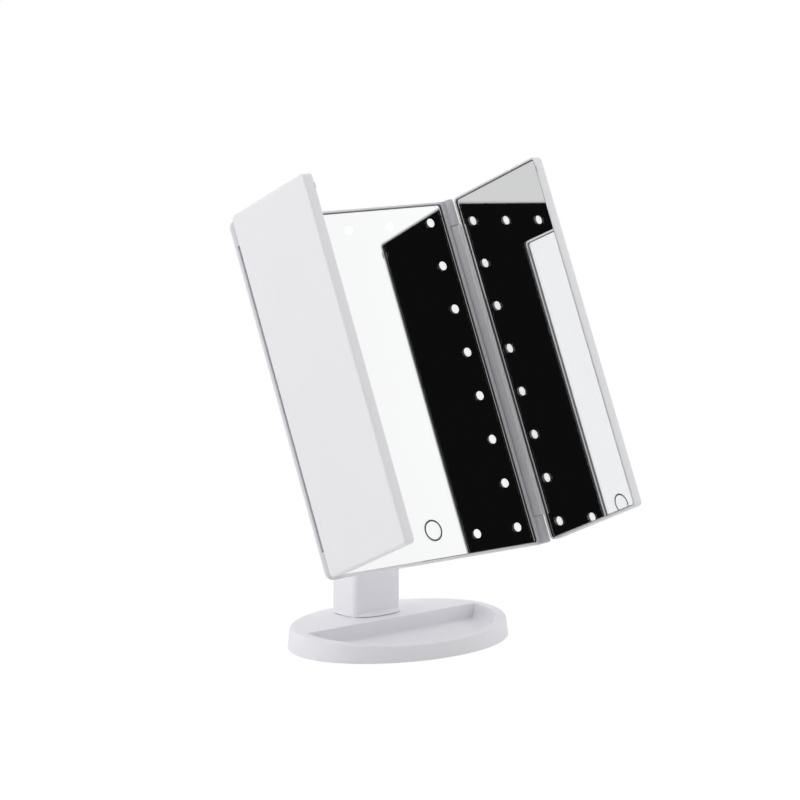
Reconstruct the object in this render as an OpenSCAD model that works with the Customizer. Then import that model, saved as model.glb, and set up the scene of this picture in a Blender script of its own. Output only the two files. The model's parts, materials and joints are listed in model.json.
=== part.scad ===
// Trifold vanity mirror: a lighted centre mirror with two folding side mirrors,
// on a tilting column over an oval tray base.
// Millimetres, +Z up, the viewer at -Y, the origin under the centre of the base.
// It is drawn as it stands in use: the head leans back and both wings are swung
// forward. The head and the wings are written upright and then placed: in the
// head's own frame the front face of the centre glass is y = 0 and +y runs back.

/* [Base] */
// Half of the oval base's width at its foot
base_a = 79.4; // [70:0.2:96]
// Half of the oval base's depth at its foot
base_b = 58.4; // [54:0.2:72]
// Height of the base above the table
base_h = 14.2; // [12:0.2:20]
// Fall of the base's rim from the tray's back wall to the front
rim_fall = 3.6; // [0:0.2:4]
// Inward lean of the base's side over its height
base_draft = 1.3; // [0.4:0.1:2]
// Wall of the base moulding
base_wall = 2.2; // [1.6:0.1:3]
// Radius of the base's rounded top edge
base_edge = 1.5; // [0.6:0.1:2]
// Width of the flat rim between the tray and the outer edge
tray_rim = 8.4; // [8:0.2:14]
// Distance of the tray's straight back wall behind the centre of the base
tray_back = 6.5; // [-4:0.5:8]
// Thickness of the tray's floor
tray_floor = 1.9; // [1:0.1:2.4]
// Thickness of the non-slip pad that stands proud under the base
pad_t = 0.6; // [0.5:0.1:1]
// Thickness of the plate that closes the base
plate_t = 1.4; // [1.2:0.1:2]

/* [Column] */
// Width of the column
col_w = 39.3; // [32:0.1:42]
// Depth of the column, front to back
col_d = 25; // [20:0.5:26]
// Distance of the column's centre behind the centre of the base
col_back = 33; // [30:0.5:36]
// Wall of the column
col_wall = 2.6; // [2:0.1:3.4]
// Radius of the column's upright edges
col_edge = 4.2; // [2:0.1:5]
// Rise of the column's bowed front and back faces
col_bow = 0.7; // [0.3:0.1:1.2]
// Height of the flared skirt round the column's foot
skirt_h = 2.8; // [2:0.1:4]
// Reach of the skirt beyond the column's front and back
skirt_front = 5.6; // [2:0.1:6]
// Reach of the skirt beyond the column's sides
skirt_side = 1.3; // [1:0.1:3]

/* [Tilt hinge] */
// Height of the tilt axle above the table
pivot_h = 132.8; // [125:0.2:150]
// Distance of the tilt axle behind the centre mirror
pivot_back = 39.2; // [38:0.2:46]
// Distance of the tilt axle below the middle of the panel
pivot_drop = 20.5; // [18:0.5:30]
// Lean of the head as it stands, back from upright
tilt = 24.3; // [0:0.1:40]
// Diameter of the tilt axle
axle_d = 6; // [5:0.5:8]
// Wall of the plain bushes on the axle
bush_wall = 2; // [1.5:0.25:3]
// Thickness of each hinge ear
ear_t = 8; // [7:0.5:10]
// Radius of each hinge ear round the axle
ear_r = 10; // [9:0.5:12]
// Thickness of the friction washers
washer_t = 0.6; // [0.4:0.1:1]

/* [Panel] */
// Width of the panel
panel_w = 183; // [170:1:222]
// Height of the panel
panel_h = 237; // [210:1:286]
// Depth of the panel behind its glass
panel_d = 8.5; // [8:0.1:10.2]
// Wall of the rear cover
cover_wall = 2; // [1.6:0.1:2.4]
// Radius of the panel's rounded rear edges
panel_round = 5.2; // [3:0.1:6]
// Width of the rim above and below the glass
rim = 1.1; // [1:0.1:3]
// Height of the rims in front of the glass
rim_proud = 0.3; // [0.2:0.1:0.6]
// Thickness of the glass of all three mirrors
glass_t = 1.8; // [1.5:0.1:2.2]
// Radius of the corners of the glass
glass_corner = 2; // [1:0.5:4]

/* [Wings] */
// Distance of the wing hinge axes inside the panel's side faces
hinge_inset = 3.5; // [3:0.1:5]
// Distance of the wing hinge axes in front of the centre glass
hinge_fwd = 1.5; // [1:0.1:3]
// Radius of the hinge barrels
barrel_r = 3.2; // [2.8:0.1:3.6]
// Length of each short barrel at the panel's corners
knuckle = 18; // [12:1:30]
// Reach of each wing from its hinge axis
wing_reach = 82.6; // [60:0.2:86]
// Depth of each wing behind its glass
wing_d = 7.2; // [6:0.1:8]
// Radius of the wings' rounded rear edges
wing_round = 1.5; // [0.8:0.1:2.5]
// Wall of the wing shells
wing_wall = 1.6; // [1.2:0.1:2]
// Width of the rim along each wing's free edge
wing_rim = 1.2; // [1:0.1:3]
// Left wing, swung forward from flat
left_fold = 89.8; // [0:0.1:180]
// Right wing, swung forward from flat
right_fold = 85.4; // [0:0.1:180]

/* [Lights] */
// Diameter of each light window
window_d = 6; // [4:0.5:8]
// Spacing of the window columns
pitch_x = 35; // [28:0.5:36]
// Spacing of the window rows
pitch_z = 30; // [24:0.5:30]
// Diameter of the touch ring
ring_d = 14.2; // [10:0.1:18]
// Width of the touch ring's line
ring_line = 1.1; // [0.8:0.1:2]
// Distance of the touch ring's centre below the middle of the panel
ring_drop = 98.3; // [90:0.1:102]

/* [Battery box] */
// Diameter of a cell
cell_d = 14.5; // [10.5:0.5:14.5]
// Length of a cell
cell_l = 50.5; // [44.5:0.5:50.5]
// Number of cells
cells = 4; // [2:1:4]
// Height of the bottom of the battery box above the middle of the panel
box_up = 6; // [4:1:20]
// Wall of the battery box
box_wall = 2; // [1.6:0.1:2.4]
// Width of the bay beside the cells, for the board, socket and switch
bay_w = 10; // [9:0.5:14]
// Travel of the power switch
switch_travel = 4; // [2:0.5:4]

/* [Hidden] */
$fn = 48;

// Clearances: a running fit, a snug seat, and a gap between mouldings.
run = 0.05;
seat = 0.15;
gap = 0.3;
// More than any cut has to reach.
far = 400;

// Plastic, metal and board colours.
white = [0.91, 0.91, 0.92];
steel = [0.75, 0.76, 0.78];
board_green = [0.12, 0.35, 0.2];
foam_black = [0.12, 0.12, 0.13];

// Thin stock.
silver_t = 0.2;
tape_t = 1;
tape_w = 5;
led_t = 1.4;
led_board_t = 1;

// ---------------------------------------------------------------- shapes

// A rectangle with true arcs at its corners, centred.
module round_rect(w, h, r) {
    square([w - 2 * r, h], center = true);
    square([w, h - 2 * r], center = true);
    for (sx = [-1, 1], sy = [-1, 1])
        translate([sx * (w / 2 - r), sy * (h / 2 - r)]) circle(r);
}

// The same as an upright plate facing the viewer: w along X, h along Z, and
// its front at y0.
module plate(w, h, r, y0, t) {
    translate([0, y0 + t, 0]) rotate([90, 0, 0]) linear_extrude(t) round_rect(w, h, r);
}

// A disc or a rod along Y, from y0 back over t.
module disc(x, z, d, y0, t) {
    translate([x, y0 + t, z]) rotate([90, 0, 0]) cylinder(d = d, h = t);
}

// A box given by its two corners.
module block(a, b) {
    translate(a) cube(b - a);
}

// One corner of a soft-edged shell: a disc of radius rc along Y whose rear edge
// is rounded by re.
module coin(rc, re, y0, y1) {
    translate([0, y1, 0]) rotate([90, 0, 0]) rotate_extrude($fn = 32) union() {
        translate([0, re]) square([rc, y1 - y0 - re]);
        square([rc - re, y1 - y0]);
        intersection() {
            translate([rc - re, re]) circle(re, $fn = 32);
            translate([rc - re, 0]) square(re);
        }
    }
}

// A shell with rounded corners and rear edges, from y0 to y1.
module soft_box(x0, x1, z0, z1, y0, y1, rc, re) {
    hull() for (x = [x0 + rc, x1 - rc], z = [z0 + rc, z1 - rc])
        translate([x, 0, z]) coin(rc, re, y0, y1);
}

// The oval at an inset from the base's outer edge, as points.
function oval(inset, n = 96) =
    [for (i = [0:n - 1]) [(base_a - inset) * cos(360 * i / n), (base_b - inset) * sin(360 * i / n)]];

// A stack of ovals: each ring is [inset, height], from the bottom up.
module oval_stack(rings, n = 96) {
    top = len(rings) - 1;
    points = [for (r = rings) for (p = oval(r[0], n)) [p[0], p[1], r[1]]];
    sides = [for (k = [0:top - 1], i = [0:n - 1]) let (j = (i + 1) % n)
        [k * n + i, (k + 1) * n + i, (k + 1) * n + j, k * n + j]];
    polyhedron(points, concat([[for (i = [0:n - 1]) i]], sides,
        [[for (i = [n - 1:-1:0]) top * n + i]]), convexity = 4);
}

// A point of the oval at an inset, by angle.
function on_oval(angle, inset) = [(base_a - inset) * cos(angle), (base_b - inset) * sin(angle)];

// ---------------------------------------------------------------- placing

module head_place() {
    translate([0, col_back, pivot_h]) rotate([-tilt, 0, 0])
        translate([0, -pivot_back, pivot_drop]) children();
}

// A wing's own frame has its hinge axis on Z, +X outward and +Y to the back.
hinge_x = panel_w / 2 - hinge_inset;
module wing_place(side, fold) {
    head_place() mirror([side < 0 ? 1 : 0, 0, 0])
        translate([hinge_x, -hinge_fwd, 0]) rotate([0, 0, -fold]) children();
}

// ---------------------------------------------------------------- base

shell_low = pad_t - 0.1;
plate_top = pad_t + plate_t;
floor_top = plate_top + tray_floor;
deck_low = base_h - base_wall;
rim_slope = rim_fall / (base_b + tray_back);
// Height of the base's top at a distance behind its centre.
function base_top(y) = base_h - max(0, tray_back - y) * rim_slope;
screw_d = 2.6;
base_screw_angles = [40, 140, 235, 305];
base_boss_inset = (base_wall + tray_rim) / 2 + 0.2;
col_screw_x = col_w / 4;
col_screw_d = 4;

// The tray: an oval bowl with a wide fillet at its floor, cut off straight.
module tray_space(grow = 0) {
    fillet = 4;
    wall = tray_rim + 0.6;
    intersection() {
        oval_stack([[wall + fillet - grow, floor_top - grow],
            [wall + 0.62 * fillet - grow, floor_top + 0.08 * fillet - grow],
            [wall + 0.3 * fillet - grow, floor_top + 0.3 * fillet - grow],
            [wall + 0.08 * fillet - grow, floor_top + 0.62 * fillet - grow],
            [wall - grow, floor_top + fillet - grow],
            [tray_rim - grow, base_h + 1]]);
        translate([-far / 2, tray_back + grow - far, 0]) cube([far, far, far]);
    }
}

// An oval ring in two arcs, the front one from one end of the tray's back wall to
// the other. With falls = 1 its front drops away from that wall with the rim.
front_n = 62;
back_n = 34;
function rim_ring(inset, z, falls) =
    let (b = base_b - inset, c = asin(tray_back / b),
         angles = concat([for (i = [0:front_n - 1]) 180 - c + (180 + 2 * c) * i / front_n],
             [for (i = [0:back_n - 1]) c + (180 - 2 * c) * i / back_n]))
    [for (t = angles) let (y = b * sin(t))
        [(base_a - inset) * cos(t), y, z - falls * rim_slope * max(0, tray_back - y)]];

// A stack of such rings, each [inset, height, falls]. Its top is two flat faces.
module rim_stack(rings) {
    n = front_n + back_n;
    top = len(rings) - 1;
    points = [for (r = rings) for (p = rim_ring(r[0], r[1], r[2])) p];
    sides = [for (k = [0:top - 1], i = [0:n - 1]) let (j = (i + 1) % n)
        [k * n + i, (k + 1) * n + i, (k + 1) * n + j, k * n + j]];
    polyhedron(points, concat([[for (i = [0:n - 1]) i]], sides,
        [[for (i = [front_n:-1:0]) top * n + i],
         concat([top * n], [for (i = [n - 1:-1:front_n]) top * n + i])]), convexity = 4);
}

module column_outline(grow = 0) {
    w = col_w + 2 * grow;
    d = col_d + 2 * grow;
    // Radius of an arc over the column's width that rises by the bow.
    bow_r = (pow(w / 2, 2) + pow(col_bow, 2)) / (2 * col_bow);
    intersection() {
        round_rect(w, d, col_edge + grow);
        translate([0, bow_r - d / 2]) circle(bow_r, $fn = 180);
        translate([0, d / 2 - bow_r]) circle(bow_r, $fn = 180);
    }
}

// The base's side leans inward as it rises: this is its inset at a height.
function lean(z) = base_draft * z / base_h;

module base_shell() color(white) {
    difference() {
        union() {
            difference() {
                rim_stack([[lean(shell_low), shell_low, 0],
                    [lean(base_h - base_edge), base_h - base_edge, 1],
                    [base_draft + 0.13 * base_edge, base_h - 0.5 * base_edge, 1],
                    [base_draft + 0.5 * base_edge, base_h - 0.13 * base_edge, 1],
                    [base_draft + base_edge, base_h, 1]]);
                difference() {
                    rim_stack([[base_wall + lean(shell_low), shell_low - 1, 0],
                        [base_wall + base_draft, deck_low, 1]]);
                    difference() {
                        tray_space(base_wall);
                        oval_stack([[0, shell_low - 2], [0, plate_top]]);
                    }
                }
                tray_space();
            }
            for (a = base_screw_angles) let (p = on_oval(a, base_boss_inset))
                translate(concat(p, plate_top))
                    cylinder(d = 2.2 * screw_d, h = base_top(p[1]) - base_wall + 0.5 - plate_top);
        }
        for (a = base_screw_angles) translate(concat(on_oval(a, base_boss_inset), plate_top - 1))
            cylinder(d = screw_d, h = 7.4);
        for (sx = [-1, 1]) translate([sx * col_screw_x, col_back, 0])
            cylinder(d = col_screw_d + 0.4, h = far);
    }
}

head_deep = 0.9;
plate_inset = base_wall + lean(plate_top + rim_fall) + seat;
module base_plate() color(white) difference() {
    oval_stack([[plate_inset, pad_t], [plate_inset, plate_top]]);
    for (a = base_screw_angles) translate(concat(on_oval(a, base_boss_inset), 0)) {
        cylinder(d = screw_d + 0.4, h = far);
        cylinder(d = 2 * screw_d + 0.4, h = pad_t + head_deep);
    }
}

module base_pad() color([0.2, 0.2, 0.21])
    oval_stack([[plate_inset + 1.2, 0], [plate_inset + 1.2, pad_t]]);

module base_screws() color(steel)
    for (a = base_screw_angles) translate(concat(on_oval(a, base_boss_inset), pad_t)) difference() {
        union() {
            cylinder(d = 2 * screw_d, h = head_deep);
            cylinder(d = screw_d - 2 * run, h = 7.2);
        }
        for (turn = [0, 90]) rotate([0, 0, turn])
            block([-screw_d / 2, -0.3, -1], [screw_d / 2, 0.3, 0.6]);
    }

// ---------------------------------------------------------------- column

foot_h = 12;
skirt_gap = 0.4;
barrel_top_r = col_d / 2;
bush_d = axle_d + 2 * bush_wall;
bush_l = 9;

// The skirt's outlines are superellipses, each [x reach, y reach, height].
skirt_power = 2.8;
function skirt_ring(a, b, z, n = 96) = [for (i = [0:n - 1])
    let (c = cos(360 * i / n), s = sin(360 * i / n))
    [a * sign(c) * pow(abs(c), 2 / skirt_power), b * sign(s) * pow(abs(s), 2 / skirt_power), z]];

// It flares out in a cove and hangs just clear of the base.
module column_skirt(n = 96) {
    rings = [for (r = [[1, 0], [1, 0.14], [0.94, 0.26], [0.68, 0.4], [0.34, 0.64], [-0.1, 1]])
        skirt_ring(col_w / 2 + r[0] * skirt_side, col_d / 2 + r[0] * skirt_front,
            skirt_gap + r[1] * (skirt_h - skirt_gap), n)];
    top = len(rings) - 1;
    polyhedron([for (r = rings) for (p = r) p], concat([[for (i = [0:n - 1]) i]],
        [for (k = [0:top - 1], i = [0:n - 1]) let (j = (i + 1) % n)
            [k * n + i, (k + 1) * n + i, (k + 1) * n + j, k * n + j]],
        [[for (i = [n - 1:-1:0]) top * n + i]]), convexity = 4);
}

module column() color(white) difference() {
    union() {
        translate([0, col_back, base_h]) linear_extrude(pivot_h - base_h) column_outline();
        translate([0, col_back, base_h]) column_skirt();
        translate([-col_w / 2, col_back, pivot_h]) rotate([0, 90, 0])
            cylinder(r = barrel_top_r, h = col_w);
    }
    // The hollow above the solid foot, up to the barrel.
    translate([0, col_back, base_h + foot_h])
        linear_extrude(pivot_h - barrel_top_r - base_h - foot_h)
            round_rect(col_w - 2 * col_wall, col_d - 2 * (col_wall + col_bow), 1);
    for (sx = [-1, 1]) {
        translate([sx * col_screw_x, col_back, base_h - 1]) cylinder(d = col_screw_d, h = foot_h - 1);
        translate([sx * (col_w / 2 - bush_l / 2 + 0.5), col_back, pivot_h]) rotate([0, 90, 0])
            cylinder(d = bush_d + 2 * run, h = bush_l + 1, center = true);
    }
    translate([-col_w / 2, col_back, pivot_h]) rotate([0, 90, 0])
        cylinder(d = axle_d + 1, h = col_w);
}

module column_screws() color(steel)
    for (sx = [-1, 1]) translate([sx * col_screw_x, col_back, deck_low]) {
        translate([0, 0, -2.4]) cylinder(d = 2 * col_screw_d, h = 2.4);
        cylinder(d = col_screw_d - 2 * run, h = base_wall + foot_h - 3);
    }

module tilt_bushes() color([0.85, 0.84, 0.78])
    for (sx = [-1, 1]) translate([sx * (col_w / 2 - bush_l / 2), col_back, pivot_h])
        rotate([0, 90, 0]) difference() {
            cylinder(d = bush_d, h = bush_l, center = true);
            cylinder(d = axle_d + 2 * run, h = bush_l + 2, center = true);
        }

// ---------------------------------------------------------------- head

half_w = panel_w / 2;
half_h = panel_h / 2;
channel_r = barrel_r + gap;
// The centre glass ends where the side rims begin, inside the hinge channels.
side_rim = 2.6;
glass_w = 2 * (hinge_x - channel_r - side_rim);
glass_h = panel_h - 2 * rim - 2 * gap;
back_of_silver = glass_t + silver_t;
ledge_y = back_of_silver + tape_t;
split_y = panel_d / 2 + 0.3;
inner_back = panel_d - cover_wall;
pin_d = 2.5;
pin_in_knuckle = knuckle - 1.5;
pin_in_barrel = 14;
long_z = half_h - knuckle;
barrel_gap = 0.3;

// The light windows: a full top row, two side columns, and a bottom row that
// leaves its middle to the touch ring. Each is [x, z].
window_cols = 5;
window_rows = 8;
windows = [for (i = [0:window_cols - 1], j = [0:window_rows - 1])
    let (x = (i - (window_cols - 1) / 2) * pitch_x, z = (j - (window_rows - 1) / 2) * pitch_z,
         edge = i == 0 || i == window_cols - 1 || j == 0 || j == window_rows - 1)
    if (edge && !(j == 0 && x == 0)) [x, z]];

module panel_form(y0, y1) intersection() {
    soft_box(-half_w, half_w, -half_h, half_h, -rim_proud, panel_d, panel_round, panel_round);
    block([-far, y0, -far], [far, y1, far]);
}

case_screw_x = hinge_x - channel_r;
case_screw_d = 2;
case_screws_at = [for (sx = [-1, 1], z = [-(half_h - knuckle / 2), 0, half_h - knuckle / 2])
    [sx * case_screw_x, z]];
case_head = 1.6;

module front_frame() color(white) difference() {
    union() {
        panel_form(-rim_proud, split_y);
        // The short barrels at the four corners.
        for (sx = [-1, 1], sz = [-1, 1])
            translate([sx * hinge_x, -hinge_fwd, sz * (half_h - knuckle / 2)])
                cylinder(r = barrel_r, h = knuckle, center = true);
    }
    plate(glass_w + 2 * seat, glass_h + 2 * seat, glass_corner + seat, -far / 2, far / 2 + ledge_y);
    plate(glass_w - 2 * tape_w, glass_h - 2 * tape_w, glass_corner, 0, far);
    for (sx = [-1, 1]) {
        // The channel that the wing's long barrel turns in, open to the side.
        translate([sx * hinge_x, -hinge_fwd, 0])
            cylinder(r = channel_r, h = 2 * long_z + 2 * barrel_gap, center = true);
        block([sx > 0 ? hinge_x : -far, -far, -long_z - barrel_gap],
            [sx > 0 ? far : -hinge_x, channel_r - hinge_fwd, long_z + barrel_gap]);
        for (sz = [-1, 1]) translate([sx * hinge_x, -hinge_fwd, sz * (long_z + pin_in_knuckle / 2 - 1)])
            cylinder(d = pin_d + 2 * run, h = pin_in_knuckle + 2, center = true);
    }
    for (p = case_screws_at) disc(p[0], p[1], case_screw_d, split_y - 2.4, far);
}

module centre_mirror() color([0.8, 0.86, 0.88, 0.5])
    plate(glass_w, glass_h, glass_corner, 0, glass_t);

ring_z = -ring_drop;
module centre_silver() color([0.82, 0.83, 0.85]) difference() {
    plate(glass_w - 1, glass_h - 1, glass_corner, glass_t, silver_t);
    for (w = windows) disc(w[0], w[1], window_d, 0, far);
    difference() {
        disc(0, ring_z, ring_d + 2 * run, 0, far);
        disc(0, ring_z, ring_d - 2 * ring_line - 2 * run, 0, far);
    }
}

module touch_ring() color([0.3, 0.3, 0.32]) difference() {
    disc(0, ring_z, ring_d, glass_t, silver_t);
    disc(0, ring_z, ring_d - 2 * ring_line, 0, far);
}

module centre_tape() color([0.9, 0.9, 0.9]) difference() {
    plate(glass_w - 1, glass_h - 1, glass_corner, back_of_silver, tape_t);
    plate(glass_w - 2 * tape_w, glass_h - 2 * tape_w, glass_corner, 0, far);
}

led_y = inner_back - led_board_t - led_t;
pipe_d = window_d + 2;
module light_pipes() color([0.96, 0.96, 0.95])
    for (w = windows) disc(w[0], w[1], pipe_d, back_of_silver, led_y - back_of_silver);

module led_chips() color([0.95, 0.9, 0.6])
    for (w = windows) translate([w[0], led_y + led_t / 2, w[1]])
        cube([2.8, led_t, 3.5], center = true);

board_w = 9;
module led_boards() color(board_green) {
    side_x = (window_cols - 1) / 2 * pitch_x;
    end_z = (window_rows - 1) / 2 * pitch_z;
    y0 = inner_back - led_board_t;
    for (sx = [-1, 1]) {
        block([sx * side_x - board_w / 2, y0, -end_z - board_w / 2],
            [sx * side_x + board_w / 2, inner_back, end_z + board_w / 2]);
        // The two short strips of the bottom row.
        block([sx > 0 ? pitch_x - board_w : board_w / 2 + gap - side_x, y0, -end_z - board_w / 2],
            [sx > 0 ? side_x - board_w / 2 - gap : board_w - pitch_x, inner_back,
             -end_z + board_w / 2]);
    }
    block([board_w / 2 + gap - side_x, y0, end_z - board_w / 2],
        [side_x - board_w / 2 - gap, inner_back, end_z + board_w / 2]);
}

touch_board_w = 2 * ring_d;
module touch_board() color(board_green)
    block([-touch_board_w / 2, inner_back - led_board_t, ring_z - ring_d / 2],
        [touch_board_w / 2, inner_back, ring_z + ring_d / 2]);

module touch_foam() color(foam_black)
    disc(0, ring_z, ring_d - 2 * ring_line - 2, back_of_silver,
        inner_back - led_board_t - back_of_silver);

// ---------------------------------------------------------------- rear cover

// The battery box stands on the panel's back. The tub holds the cells on their
// sides, one above the other, with the contacts at both ends.
contact_room = 4.5;
tub_w = cell_l + 2 * contact_room;
tub_h = cells * (cell_d + gap) + gap;
tub_y = inner_back + 1.5;
tub_d = cell_d + 2 * gap;
door_t = 2;
box_back = tub_y + tub_d + door_t;
box_low = box_up;
box_high = box_low + tub_h + 2 * box_wall;
tub_low = box_low + box_wall;
tub_x0 = -(tub_w + box_wall + bay_w) / 2;
tub_x1 = tub_x0 + tub_w;
box_x0 = tub_x0 - box_wall;
bay_x0 = tub_x1 + box_wall;
bay_x1 = bay_x0 + bay_w;
box_x1 = bay_x1 + box_wall;
box_edge = 2.5;
// The door slides in grooves that reach this far beyond the tub on both sides.
groove = 1.2;
door_w = tub_w + 2 * groove;
lip_t = 0.8;

board_t = 1.6;
board_z0 = tub_low + 3;
board_z1 = tub_low + tub_h - 3;
usb_w = 7.6;
usb_h = 2.8;
usb_l = 5.6;
usb_z = board_z0 + usb_w / 2 + 2;
usb_y = tub_y + board_t + usb_h / 2;
switch_z = board_z1 - 9;
switch_l = 9;
switch_w = 4.4;
switch_y = tub_y + board_t + switch_w / 2;
switch_x0 = bay_x1 - 4.2;
stem = 2;

ear_in = col_w / 2 + washer_t + 2 * run;
ear_out = ear_in + ear_t;
ear_foot = 15;
cap_t = 1.6;
head_t = 2;
pocket = head_t + cap_t + 0.2;
pocket_d = 2 * axle_d + 1;

module hinge_ear(x0) {
    translate([x0, 0, -pivot_drop]) rotate([90, 0, 90]) linear_extrude(ear_t) {
        translate([pivot_back, 0]) circle(ear_r);
        polygon([[panel_d - 0.5, -ear_foot], [pivot_back - 0.4 * ear_r, -0.92 * ear_r],
            [pivot_back, -ear_r], [pivot_back, ear_r],
            [pivot_back - 0.4 * ear_r, 0.92 * ear_r], [panel_d - 0.5, ear_foot]]);
    }
}

module rear_cover() color(white) difference() {
    union() {
        difference() {
            panel_form(split_y, panel_d);
            soft_box(cover_wall - half_w, half_w - cover_wall, cover_wall - half_h,
                half_h - cover_wall, -rim_proud, inner_back, panel_round - cover_wall,
                panel_round - cover_wall);
        }
        for (p = case_screws_at) disc(p[0], p[1], 3 * case_screw_d, split_y, inner_back + 0.5 - split_y);
        // The battery box, with rounded upright edges.
        translate([(box_x0 + box_x1) / 2, 0, (box_low + box_high) / 2])
            plate(box_x1 - box_x0, box_high - box_low, box_edge, inner_back, box_back - inner_back);
        // The two ears of the tilt hinge, on a raised pad.
        translate([0, 0, -pivot_drop])
            plate(2 * ear_out + 8, 2 * ear_foot + 4, 3, inner_back + 0.5, cover_wall + 2);
        hinge_ear(ear_in);
        hinge_ear(-ear_out);
    }
    // The tub for the cells, and the bay for the board beside it.
    block([tub_x0, tub_y, tub_low], [tub_x1, far, tub_low + tub_h]);
    block([bay_x0, tub_y, tub_low], [bay_x1, box_back - door_t, tub_low + tub_h]);
    // The seat of the door, open at the top, under two lips that hold it.
    block([tub_x0 - groove, box_back - door_t, tub_low - groove],
        [tub_x1 + groove, box_back - lip_t, far]);
    block([tub_x0, box_back - door_t, tub_low - groove], [tub_x1, far, far]);
    // Wires pass from the bay to the lights, and over a notch from the tub to the bay.
    translate([(bay_x0 + bay_x1) / 2, 0, (usb_z + switch_z) / 2])
        rotate([-90, 0, 0]) cylinder(d = 4, h = tub_y + 1);
    block([tub_x1 - 1, tub_y, (usb_z + switch_z) / 2 - 2], [bay_x0 + 1, tub_y + 3, (usb_z + switch_z) / 2 + 2]);
    // The socket and the switch look out of the side of the box.
    block([bay_x1 - 1, usb_y - usb_h / 2 - gap, usb_z - usb_w / 2 - gap],
        [far, usb_y + usb_h / 2 + gap, usb_z + usb_w / 2 + gap]);
    block([bay_x1 - 1, switch_y - stem / 2 - gap, switch_z - (stem + switch_travel) / 2 - gap],
        [far, switch_y + stem / 2 + gap, switch_z + (stem + switch_travel) / 2 + gap]);
    for (sx = [-1, 1]) translate([0, pivot_back, -pivot_drop]) rotate([0, 90 * sx, 0]) {
        cylinder(d = axle_d + 0.04, h = far);
        translate([0, 0, ear_out - pocket]) cylinder(d = pocket_d, h = far);
    }
    for (p = case_screws_at) {
        disc(p[0], p[1], case_screw_d + 0.3, 0, far);
        disc(p[0], p[1], 2 * case_screw_d + 0.6, panel_d - case_head, far);
    }
}

// Each has a cross recess in its head.
module case_screws() color(steel) for (p = case_screws_at) difference() {
    union() {
        disc(p[0], p[1], 2 * case_screw_d, panel_d - case_head, 1.2);
        disc(p[0], p[1], case_screw_d - 2 * run, split_y - 2.2, panel_d - case_head - split_y + 2.3);
    }
    for (turn = [0, 90]) translate([p[0], panel_d - case_head + 0.4, p[1]]) rotate([0, turn, 0])
        block([-case_screw_d / 2, 0, -0.25], [case_screw_d / 2, 2, 0.25]);
}

function cell_z(i) = tub_low + gap + (cell_d + gap) * (i + 0.5) - gap / 2;
cell_x0 = (tub_x0 + tub_x1 - cell_l) / 2;
cell_y = tub_y + gap + cell_d / 2;
tip = 1.2;

// Each cell is a can with its button; every second one is turned round.
module battery_cells() color([0.3, 0.45, 0.35]) for (i = [0:cells - 1])
    translate([cell_x0 + cell_l / 2, cell_y, cell_z(i)]) rotate([0, i % 2 ? 90 : -90, 0]) {
        translate([0, 0, -cell_l / 2]) cylinder(d = cell_d, h = cell_l - tip);
        translate([0, 0, cell_l / 2 - tip]) cylinder(d = 0.38 * cell_d, h = tip);
    }

plate_metal = 0.4;
module battery_contacts() color(steel) for (i = [0:cells - 1], sx = [-1, 1]) {
    flat_end = (i % 2 == 0) == (sx > 0);
    wall_x = sx > 0 ? tub_x1 : tub_x0;
    reach = contact_room - plate_metal;
    translate([wall_x - sx * plate_metal / 2, cell_y, cell_z(i)])
        cube([plate_metal, 0.75 * cell_d, 0.75 * cell_d], center = true);
    // A coned spring for the flat end of the cell, a raised dish for its button.
    translate([wall_x - sx * plate_metal, cell_y, cell_z(i)]) rotate([0, -90 * sx, 0])
        difference() {
            cylinder(d1 = 0.55 * cell_d, d2 = flat_end ? 0.4 * cell_d : 0.3 * cell_d, h = reach);
            translate([0, 0, -1]) cylinder(d = flat_end ? 0.25 * cell_d : 0.1 * cell_d, h = reach + 2);
        }
}

module driver_board() color(board_green)
    block([bay_x0 + gap, tub_y, board_z0], [bay_x1 - gap, tub_y + board_t, board_z1]);

module usb_socket() color(steel) difference() {
    block([bay_x1 + box_wall - 0.6 - usb_l, usb_y - usb_h / 2, usb_z - usb_w / 2],
        [bay_x1 + box_wall - 0.6, usb_y + usb_h / 2, usb_z + usb_w / 2]);
    difference() {
        block([bay_x1 + box_wall - usb_l + 0.4, usb_y - usb_h / 2 + 0.4, usb_z - usb_w / 2 + 0.4],
            [far, usb_y + usb_h / 2 - 0.4, usb_z + usb_w / 2 - 0.4]);
        block([0, usb_y - 0.3, usb_z - usb_w / 4],
            [bay_x1 + box_wall - 1.4, usb_y + 0.3, usb_z + usb_w / 4]);
    }
}

module switch_housing() color(foam_black) difference() {
    block([switch_x0, tub_y + board_t, switch_z - switch_l / 2],
        [bay_x1 - 0.2, tub_y + board_t + switch_w, switch_z + switch_l / 2]);
    block([switch_x0 + 1, switch_y - stem / 2 - gap, switch_z - (stem + switch_travel) / 2 - gap],
        [far, switch_y + stem / 2 + gap, switch_z + (stem + switch_travel) / 2 + gap]);
}

// The slide of the switch stands at the lower end of its travel: off.
module power_switch() color(foam_black) {
    z = switch_z - switch_travel / 2;
    block([switch_x0 + 1 + gap, switch_y - stem / 2, z - stem / 2],
        [box_x1 + 0.5, switch_y + stem / 2, z + stem / 2]);
    for (k = [-1, 0, 1]) block([box_x1 + gap, switch_y - 1.6, z + 1.4 * k - 0.7],
        [box_x1 + 1.8 - 0.4 * abs(k), switch_y + 1.6, z + 1.4 * k + 0.7]);
}

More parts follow.
